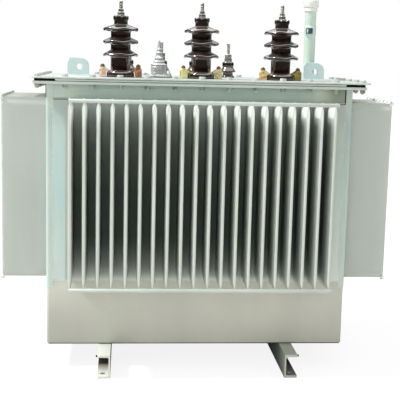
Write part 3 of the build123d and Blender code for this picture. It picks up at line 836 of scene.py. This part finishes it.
# clamps at the feet of the tall bushings, seen from the side as (out from the bushing, up from the lid)
clamp = {"half": 13.0, "cheek": 3.2, "lapped": 0.5, "strapSunk": 2.6, "lift": 0.4, "edge": 0.8, "high": 33.0,
         "ribProud": 2.0, "ribSunk": 1.0, "bolt": 60.0, "washer": 8.6, "washerSunk": 0.4, "washerTop": 1.4,
         "nut": 13.0, "nutTop": 7.8, "shank": 4.0, "shankTop": 10.6}
clampSide = ((71.5, 0.4), (71.5, 25.0), (70.4, 29.0), (67.5, 32.0), (64.0, 33.0), (54.0, 33.0), (49.5, 31.4),
             (45.0, 27.4), (40.0, 25.6), (37.4, 23.6), (37.6, 21.2), (40.0, 19.6), (46.0, 17.0), (48.6, 12.0),
             (49.2, 6.0), (49.4, 0.4))
clampRib = ((66.5, 1.0), (66.5, 27.0), (62.5, 27.0), (62.5, 1.0))
# three tints for each clamp half: its own, its deep patches, its pale ones; the right-hand halves are darker
clampTints = {"Left1": ("#fbd8be", "#d2a482", "#fff2e6"), "Right1": ("#b87c58", "#6a5834", "#dcaa8c"),
              "Left2": ("#f8ec90", "#d0c660", "#fff8d4"), "Right2": ("#ecdc96", "#bcaa5c", "#faf2d0"),
              "Left3": ("#f4d490", "#caa05a", "#fff0c4"), "Right3": ("#968b44", "#605a2a", "#c0b068")}
for i in range(3):
    number = str(i + 1)
    cx, cy = middleMm("hv_clamps_" + number)
    half, inner, seat = clamp["half"], clamp["half"] - clamp["cheek"], top + clamp["high"]
    nuts = bmesh.new()
    for side, label in ((-1, "Left"), (1, "Right")):
        def onLid(u, v, along, sign=side):
            return cx + sign * u, cy + along, top + max(v, clamp["lift"])

        # two pressed cheeks with the strap sunk between them, and a folded rib down the front cheek
        strap = pulledIn(clampSide, middleOf(clampSide), clamp["strapSunk"])
        shape = bmesh.new()
        for outline, start, end in ((clampSide, -half, -inner),
                                    (strap, -inner - clamp["lapped"], inner + clamp["lapped"]),
                                    (clampSide, inner, half),
                                    (clampRib, -half - clamp["ribProud"], -half + clamp["ribSunk"])):
            addPrism(shape, outline, onLid, start, end, clamp["edge"])
        zinc = chromatedZinc("chromatedZinc" + number + label, *clampTints[label + number])
        place(finish("hvClamp" + label + number, shape, zinc, 30.0), "clamp_zinc",
              *(("hv_clamps_" + number,) if side < 0 else ()))
        at = (cx + side * clamp["bolt"], cy)
        addDisc(nuts, clamp["washer"], seat - clamp["washerSunk"], seat + clamp["washerTop"], at)
        addHex(nuts, clamp["nut"], seat + clamp["washerTop"], seat + clamp["nutTop"], at, 0.4 * i + side)
        addDisc(nuts, clamp["shank"], seat, seat + clamp["shankTop"], at, 16, 1.0)
    place(finish("hvClampNuts" + number, nuts, brownNut, 35.0), "clamp_zinc")
print("clamps made")

# the short bushings, as (radius, height over the lid)
lvProfile = ((22.0, 0.0), (24.0, 1.5), (24.0, 4.0), (22.5, 6.0), (18.8, 8.5), (18.5, 10.0), (18.5, 17.5),
             (20.0, 19.6), (26.5, 20.2), (28.2, 21.6), (28.4, 23.4), (27.2, 25.6), (24.5, 29.5), (21.0, 34.5),
             (19.4, 38.0), (19.2, 39.5), (20.6, 41.0), (21.0, 43.0), (21.0, 53.0), (19.8, 55.8), (17.0, 57.0),
             (8.0, 57.0))
lvStack = (("washer", 14.0, 0.0, 2.6), ("nut", 24.0, 2.6, 12.0), ("washer", 13.0, 12.0, 14.6),
           ("nut", 24.0, 14.6, 27.6), ("stud", 5.6, 27.6, 67.6))


def lvWave(radius, height, angle, phase):
    # only the one shed ripples
    if height < 18.0 or height > 32.0:
        return 0.0
    return 0.9 * max(0.0, (radius - 19.0) / 10.0) * math.sin(5 * angle + phase)


for i in range(4):
    bushing("lv", str(i + 1), lvProfile, 70, lvWave, i * 1.9, lvStack, (0.2 + i, 0.7 + i * 0.6),
            (28.5, 37.0, 21.0))
print("low voltage bushings made")

# the relief valve: flange, body, bonnet and spring cap, turned in one
valve = {"bolts": 6, "boltCircle": 37.2, "boltAcross": 10.0, "boltHead": 4.4, "boltEnd": 6.0, "boltRadius": 3.0,
         "flange": 6.0, "stay": 1.6, "stayTop": (25.0, -8.0, 45.0), "stayFoot": (41.0, -10.0, 6.2)}
valveProfile = ((44.5, 0.0), (46.0, 1.2), (46.0, 4.8), (44.5, 6.0), (31.0, 6.3), (28.4, 8.0), (27.4, 10.0),
                (27.0, 12.0), (27.0, 15.0), (28.0, 16.5), (28.0, 36.0), (27.2, 37.2), (27.2, 38.4), (28.6, 39.4),
                (28.6, 44.0), (27.4, 45.4), (22.0, 47.0), (19.4, 48.6), (19.0, 50.0), (19.2, 54.4), (18.2, 56.0),
                (15.8, 57.4), (15.0, 62.0), (15.4, 66.0), (13.6, 68.4), (11.4, 74.0), (10.4, 82.0), (10.8, 84.0),
                (9.4, 86.0), (8.2, 94.0), (8.6, 96.0), (7.2, 98.0), (6.2, 106.0), (5.0, 112.0), (3.8, 121.0),
                (2.6, 126.0), (1.2, 127.0))
vx, vy = middleMm("relief_valve")
shape = bmesh.new()
addLathe(shape, valveProfile, (vx, vy, top), 56)
place(finish("reliefValve", shape, castAluminium, 30.0), "valve_aluminium", "relief_valve")
shape = bmesh.new()
boltFoot = top + valve["flange"]
addHex(shape, valve["boltAcross"], boltFoot, boltFoot + valve["boltHead"], (0, 0))
addDisc(shape, valve["boltRadius"], boltFoot + valve["boltHead"], boltFoot + valve["boltEnd"], (0, 0), 10, 0.5)
place(grow(finish("valveBolt", shape, zincBolt), "ring", {
    "Count": valve["bolts"], "Radius": valve["boltCircle"] * toMetres, "Centre": metres(vx, vy, 0)},
    zincBolt, "valveBolts"), "terminal_steel")
shape = bmesh.new()
stayTop, stayFoot = (Vector((vx, vy, top)) + Vector(valve[end]) for end in ("stayTop", "stayFoot"))
addRod(shape, stayTop, stayFoot, valve["stay"])
place(finish("valveStay", shape, castAluminium), "valve_aluminium")

# rubber rings under the feet on the lid stand out a little all round
ring = {"hv": 47.4, "lv": 25.4, "valve": 47.2, "high": 2.0, "valveHigh": 1.4, "sunk": 0.2}
shape = bmesh.new()
for kind, count in (("hv", 3), ("lv", 4)):
    for i in range(count):
        addDisc(shape, ring[kind], top - ring["sunk"], top + ring["high"],
                middleMm(kind + "_bushing_" + str(i + 1)), 48, 0.5)
addDisc(shape, ring["valve"], top - ring["sunk"], top + ring["valveHigh"], (vx, vy), 48, 0.4)
place(finish("footGaskets", shape, gasketRubber), "gasket_rubber")

# the filler tube, with a boss behind its level window
tube = {"radius": 20.0, "bead": 20.8, "collar": 21.2, "collarLow": 158.0, "collarHigh": 192.0,
        "foot": 32.0, "boss": 2.0, "bossEdge": 1.2, "bossBack": 14.0}
tx, ty = middleMm("filler_tube")
tubeHigh = boxMm("filler_tube")[1][2] - top
tubeProfile = ((tube["foot"] - 1.0, 0.0), (tube["foot"], 1.0), (tube["foot"], 5.0), (tube["foot"] - 1.0, 6.0),
               (22.6, 6.2), (tube["bead"], 7.6), (tube["radius"], 10.0), (tube["radius"], tube["collarLow"] - 1.0),
               (tube["bead"], tube["collarLow"]), (tube["collar"], tube["collarLow"] + 1.2),
               (tube["collar"], tube["collarHigh"] - 1.2), (tube["bead"], tube["collarHigh"]),
               (tube["radius"], tube["collarHigh"] + 1.0), (tube["radius"], tubeHigh - 0.2))
(wx0, wy0, wz0), (wx1, wy1, wz1) = boxMm("level_window")
shape = bmesh.new()
addLathe(shape, tubeProfile, (tx, ty, top), 56)
addBlock(shape, wx0, wx1, wz0, wz1, ((wy1, -tube["bossEdge"]), (wy1 + tube["bossEdge"], -tube["boss"]),
                                     (ty - tube["bossBack"], -tube["boss"])))
place(finish("fillerTube", shape, tubePaint), "tube_paint", "filler_tube")
shape = bmesh.new()
addBlock(shape, wx0, wx1, wz0, wz1, ((wy0, 1.0), (wy0 + 1.0, 0.0), (wy1, 0.0)))
place(finish("levelWindow", shape, windowGlass), "window_glass", "level_window")
# the bright reading strip on the left third of the glass
reading = {"left": 2.0, "right": 8.0, "gap": 3.0, "proud": 0.4, "edge": 0.5}
shape = bmesh.new()
addBlock(shape, wx0 + reading["left"], wx0 + reading["right"], wz0 + reading["gap"], wz1 - reading["gap"],
         ((wy0 - reading["proud"], reading["edge"]), (wy0 + reading["proud"], 0.0)))
place(finish("readingStrip", shape, capPaint), "cap_paint")

# the cap: a rim round the tube and a ribbed top
cap = {"ribs": 36, "ribCircle": 26.6, "ribLow": 17.2, "ribEnd": 6.5}
low, high = boxMm("filler_cap")
capFoot, capHigh = low[2], high[2] - low[2]
capProfile = ((22.4, 0.0), (23.4, 1.0), (23.6, 11.0), (22.8, 12.4), (21.8, 12.8), (21.8, 15.0), (25.4, 15.6),
              (26.6, 17.0), (26.8, capHigh - 6.0), (25.6, capHigh - 2.4), (22.5, capHigh - 0.4),
              (16.0, capHigh - 0.1), (2.0, capHigh))
shape = bmesh.new()
addLathe(shape, capProfile, (tx, ty, capFoot), 56)
place(finish("fillerCap", shape, capPaint), "cap_paint", "filler_cap")
shape = bmesh.new()
addPrism(shape, ((-1.1, -0.6), (1.1, -0.6), (0.6, 0.9), (-0.6, 0.9)), lambda u, v, up: (v, u, capFoot + up),
         cap["ribLow"], capHigh - cap["ribEnd"])
place(grow(finish("capRib", shape, capPaint), "ring", {
    "Count": cap["ribs"], "Radius": cap["ribCircle"] * toMetres, "Centre": metres(tx, ty, 0)},
    capPaint, "capRibs"), "cap_paint")
print("valve and tube made")

lug = {"width": 76.0, "high": 62.0, "thickness": 14.0, "round": 30.0, "clip": 9.0, "edge": 1.2,
       "hole": 10.0, "holeHigh": 30.0, "holeSide": 4.0, "bead": 2.4, "beadOut": 1.5, "beadProud": 1.0}


def lugPiece(name, nodeName):
    # one clipped shoulder and one round one, with the eye cut through
    cx, half, front = middleMm(nodeName)[0], lug["width"] / 2, lug["thickness"] / 2
    outer = [(-half, 0.0), (half, 0.0), (half, lug["high"] - lug["round"])]
    for k in range(1, 13):
        angle = math.radians(90 * k / 12)
        outer.append((half - lug["round"] + lug["round"] * math.cos(angle),
                      lug["high"] - lug["round"] + lug["round"] * math.sin(angle)))
    outer += [(-half + lug["clip"], lug["high"]), (-half, lug["high"] - 1.8 * lug["clip"])]
    shape = bmesh.new()
    layers = []
    for y, inset in ((-front, lug["edge"]), (-front + lug["edge"], 0.0), (front - lug["edge"], 0.0),
                     (front, lug["edge"])):
        outerRing = [shape.verts.new((cx + p.x, y, top + max(p.y, 0.0)))
                     for p in pulledIn(outer, Vector((0, lug["high"] / 2)), inset)]
        holeRing = []
        for k in range(36):
            angle = fullTurn * k / 36
            radius = lug["hole"] + inset
            holeRing.append(shape.verts.new((cx + lug["holeSide"] + radius * math.cos(angle), y,
                                             top + lug["holeHigh"] + radius * math.sin(angle))))
        layers.append((outerRing, holeRing))
    for (outA, holeA), (outB, holeB) in zip(layers, layers[1:]):
        for ring, other in ((outA, outB), (holeB, holeA)):
            for i in range(len(ring)):
                j = (i + 1) % len(ring)
                shape.faces.new((ring[i], ring[j], other[j], other[i]))
    for layer in (layers[0], layers[-1]):
        edges = [shape.edges.get((ring[i], ring[(i + 1) % len(ring)])) for ring in layer for i in range(len(ring))]
        bmesh.ops.triangle_fill(shape, edges=edges, use_beauty=True, use_dissolve=False)
    place(finish(name, shape, lugPaint), "lug_paint", nodeName)
    x, y = half + lug["beadOut"], front + lug["beadProud"]
    weld(name + "Weld", [(cx + u * x, v * y, top + 1.0) for u, v in corners], lug["bead"], lugPaint, "lug_paint",
         True, cx * 0.1)


for side in ("Left", "Right"):
    lugPiece("liftingLug" + side, "lifting_lug_" + side.lower())

# cuts give the rails' painted shade its steps, by distance from their ends
rail = {"edge": 1.4, "cuts": (20.0, 45.0, 75.0, 105.0, 130.0, 160.0),
        "stud": 3.6, "studOut": 5.0, "studIn": 3.0, "studDrop": 4.0, "studEnd": 7.0}


def railLitShare(centre, normal, across, away, opensLeft):
    # 1 on the outer faces, falling to 0 inside the channel: painted shade under the tank and under the top flange
    if opensLeft and centre.z < 8.0 and normal.y < -0.5:
        return 0.45
    if across < 0.05:
        return 0.0 if opensLeft else between(away, ((0.0, 0.95), (60.0, 0.7), (130.0, 0.5)))
    if centre.z < 10.0 and normal.z > 0.5:
        reach = between(away, ((0.0, 1.0), (45.0, 0.95), (105.0, 0.25), (130.0, 0.0)))
        return reach if opensLeft else reach * 0.35
    return 0.0 if 8.0 < centre.z < 72.0 and across > 0.06 and abs(normal.y) < 0.5 else 1.0


studs = bmesh.new()
for side, sign in (("left", -1), ("right", 1)):
    # a copy of the rolled channel with its edges eased, so that they catch the light
    nodeName = "base_rail_" + side
    low, high = boxMm(nodeName)
    form = bmesh.new()
    form.from_mesh(nodes[nodeName].data)
    bmesh.ops.remove_doubles(form, verts=form.verts, dist=1e-5)
    bmesh.ops.dissolve_limit(form, angle_limit=math.radians(1), verts=form.verts, edges=form.edges)
    sharp = [e for e in form.edges if len(e.link_faces) == 2 and e.calc_face_angle() > math.radians(50)]
    bmesh.ops.bevel(form, geom=sharp, offset=rail["edge"] * toMetres, segments=2, profile=0.5, affect="EDGES",
                    clamp_overlap=True)
    bmesh.ops.scale(form, vec=(1 / toMetres,) * 3, verts=form.verts)
    for away in rail["cuts"]:
        for end in (-1, 1):
            bmesh.ops.bisect_plane(form, geom=form.verts[:] + form.edges[:] + form.faces[:], dist=0.001,
                                   plane_co=(0, end * (high[1] - away), 0), plane_no=(0, 1, 0))
    piece = finish("channelRail_" + side, form, litAndShadedRailPaints[side], 30.0)
    mesh = piece.data
    spread = mesh.attributes.new("paintedLightShare", "FLOAT", "CORNER")
    for face in mesh.polygons:
        centre = face.center / toMetres
        across = (centre.x - low[0]) / (high[0] - low[0])
        for corner in face.loop_indices:
            away = high[1] - abs(mesh.vertices[mesh.loops[corner].vertex_index].co.y / toMetres)
            spread.data[corner].value = railLitShare(centre, face.normal, across if sign > 0 else 1.0 - across, away,
                                                  side == "left")
    place(piece, "rail_paint", nodeName)
    edge = low[0] if side == "left" else high[0]
    for y in (low[1] + rail["studEnd"], high[1] - rail["studEnd"]):
        addRod(studs, (edge - sign * rail["studIn"], y, high[2] - rail["studDrop"]),
               (edge + sign * rail["studOut"], y, high[2] - rail["studDrop"]), rail["stud"])
place(finish("railStuds", studs, darkSteelAndShadow), "rail_paint")
print("rails made")

# a pale floor that the camera sees as near white with the shadow on it, and glossy surfaces as dark
floorMesh = bpy.data.meshes.new("floor")
reach = 14.0
floorMesh.from_pydata([(x * reach, y * reach, 0) for x, y in corners], [], [(0, 1, 2, 3)])
floor = newObject("floor", floorMesh)
floorMaterial, tree, shader = newMaterial("paleFloor", {"Roughness": 0.9, "Base Color": "#ebe9e4"})[:3]
seen = addNode(tree, "ShaderNodeBsdfDiffuse", {"Color": "#747474"})
glow = addNode(tree, "ShaderNodeEmission", {"Color": "#ffffff", "Strength": 0.87})
soft = addNode(tree, "ShaderNodeAddShader", links={0: seen.outputs[0], 1: glow.outputs[0]})
dusky = addNode(tree, "ShaderNodeBsdfDiffuse", {"Color": "#454543"})
lightPath = addNode(tree, "ShaderNodeLightPath")
bounced = addNode(tree, "ShaderNodeMixShader", links={0: lightPath.outputs["Is Glossy Ray"],
                                                      1: shader.outputs[0], 2: dusky.outputs[0]})
either = addNode(tree, "ShaderNodeMixShader", links={0: lightPath.outputs["Is Camera Ray"],
                                                     1: bounced.outputs[0], 2: soft.outputs[0]})
tree.links.new(either.outputs[0], tree.nodes["Material Output"].inputs["Surface"])
floorMesh.materials.append(floorMaterial)

# a white studio to the camera, a soft even one to matt surfaces, a dark one with a bright ceiling to gloss
world = bpy.data.worlds.new("studio")
bpy.context.scene.world = world
world.use_nodes = True
tree = world.node_tree
tree.nodes.clear()
lightPath = addNode(tree, "ShaderNodeLightPath")
direction = addNode(tree, "ShaderNodeTexCoord")
axes = addNode(tree, "ShaderNodeSeparateXYZ", links={0: direction.outputs["Generated"]})
hall = addNode(tree, "ShaderNodeValToRGB", {"stops": (
    (0.0, "#c8c8c4"), (0.10, "#c8cccc"), (0.55, "#f2f6f8"), (1.0, "#ffffff"))}, {0: axes.outputs[2]})
mirror = addNode(tree, "ShaderNodeValToRGB", {"stops": (
    (0.0, "#100f0e"), (0.10, "#1e1e1e"), (0.40, "#747474"), (0.62, "#d0d0d0"), (0.78, "#ffffff"))},
    {0: axes.outputs[2]})
seen = addNode(tree, "ShaderNodeBackground", {"Color": "#ffffff", "Strength": 1.0})
lit = addNode(tree, "ShaderNodeBackground", {"Strength": 0.82}, {0: hall.outputs[0]})
glossy = addNode(tree, "ShaderNodeBackground", {"Strength": 2.6}, {0: mirror.outputs[0]})
indirect = addNode(tree, "ShaderNodeMixShader", links={0: lightPath.outputs["Is Glossy Ray"],
                                                       1: lit.outputs[0], 2: glossy.outputs[0]})
mix = addNode(tree, "ShaderNodeMixShader", links={0: lightPath.outputs["Is Camera Ray"],
                                                  1: indirect.outputs[0], 2: seen.outputs[0]})
addNode(tree, "ShaderNodeOutputWorld", links={0: mix.outputs[0]})


def addLamp(name, kind, energy, aim):
    lamp = bpy.data.lights.new(name, kind)
    lamp.energy = energy
    holder = newObject(name, lamp)
    holder.rotation_euler = aim.to_track_quat("-Z", "Y").to_euler()
    return lamp, holder


sun = addLamp("key", "SUN", 3.4, Vector((1.0, 0.03, -1.2)))[0]
sun.angle = math.radians(7)
fillPlace = Vector((-1.2, -4.2, 1.5))
fill, fillHolder = addLamp("frontFill", "AREA", 30.0, Vector((0, 0, 0.5)) - fillPlace)
fill.shape = "RECTANGLE"
fill.size, fill.size_y = 2.4, 2.0
fillHolder.location = fillPlace
fillHolder.visible_glossy = False

# the photograph's own viewing angle; focal is in pixels of its 400 pixel frame
view = {"focal": 926.27, "frame": 400, "sensor": 36.0, "place": (-0.25359, -3.3154, 1.06817),
        "yaw": 4.75, "pitch": 8.83, "roll": 1.35}
yaw, pitch, roll = (math.radians(view[k]) for k in ("yaw", "pitch", "roll"))
forward = Vector((math.sin(yaw) * math.cos(pitch), math.cos(yaw) * math.cos(pitch), -math.sin(pitch)))
level = Vector((math.cos(yaw), -math.sin(yaw), 0))
upward = level.cross(forward)
right = level * math.cos(roll) + upward * math.sin(roll)
up = upward * math.cos(roll) - level * math.sin(roll)
cameraData = bpy.data.cameras.new("photoView")
cameraData.sensor_width = view["sensor"]
cameraData.lens = view["focal"] / view["frame"] * view["sensor"]
camera = newObject("photoView", cameraData)
camera.matrix_world = Matrix([(right[i], up[i], -forward[i], view["place"][i]) for i in range(3)] + [(0, 0, 0, 1)])
bpy.context.scene.camera = camera
bpy.context.scene.view_settings.view_transform = "Standard"
print("stage ready")
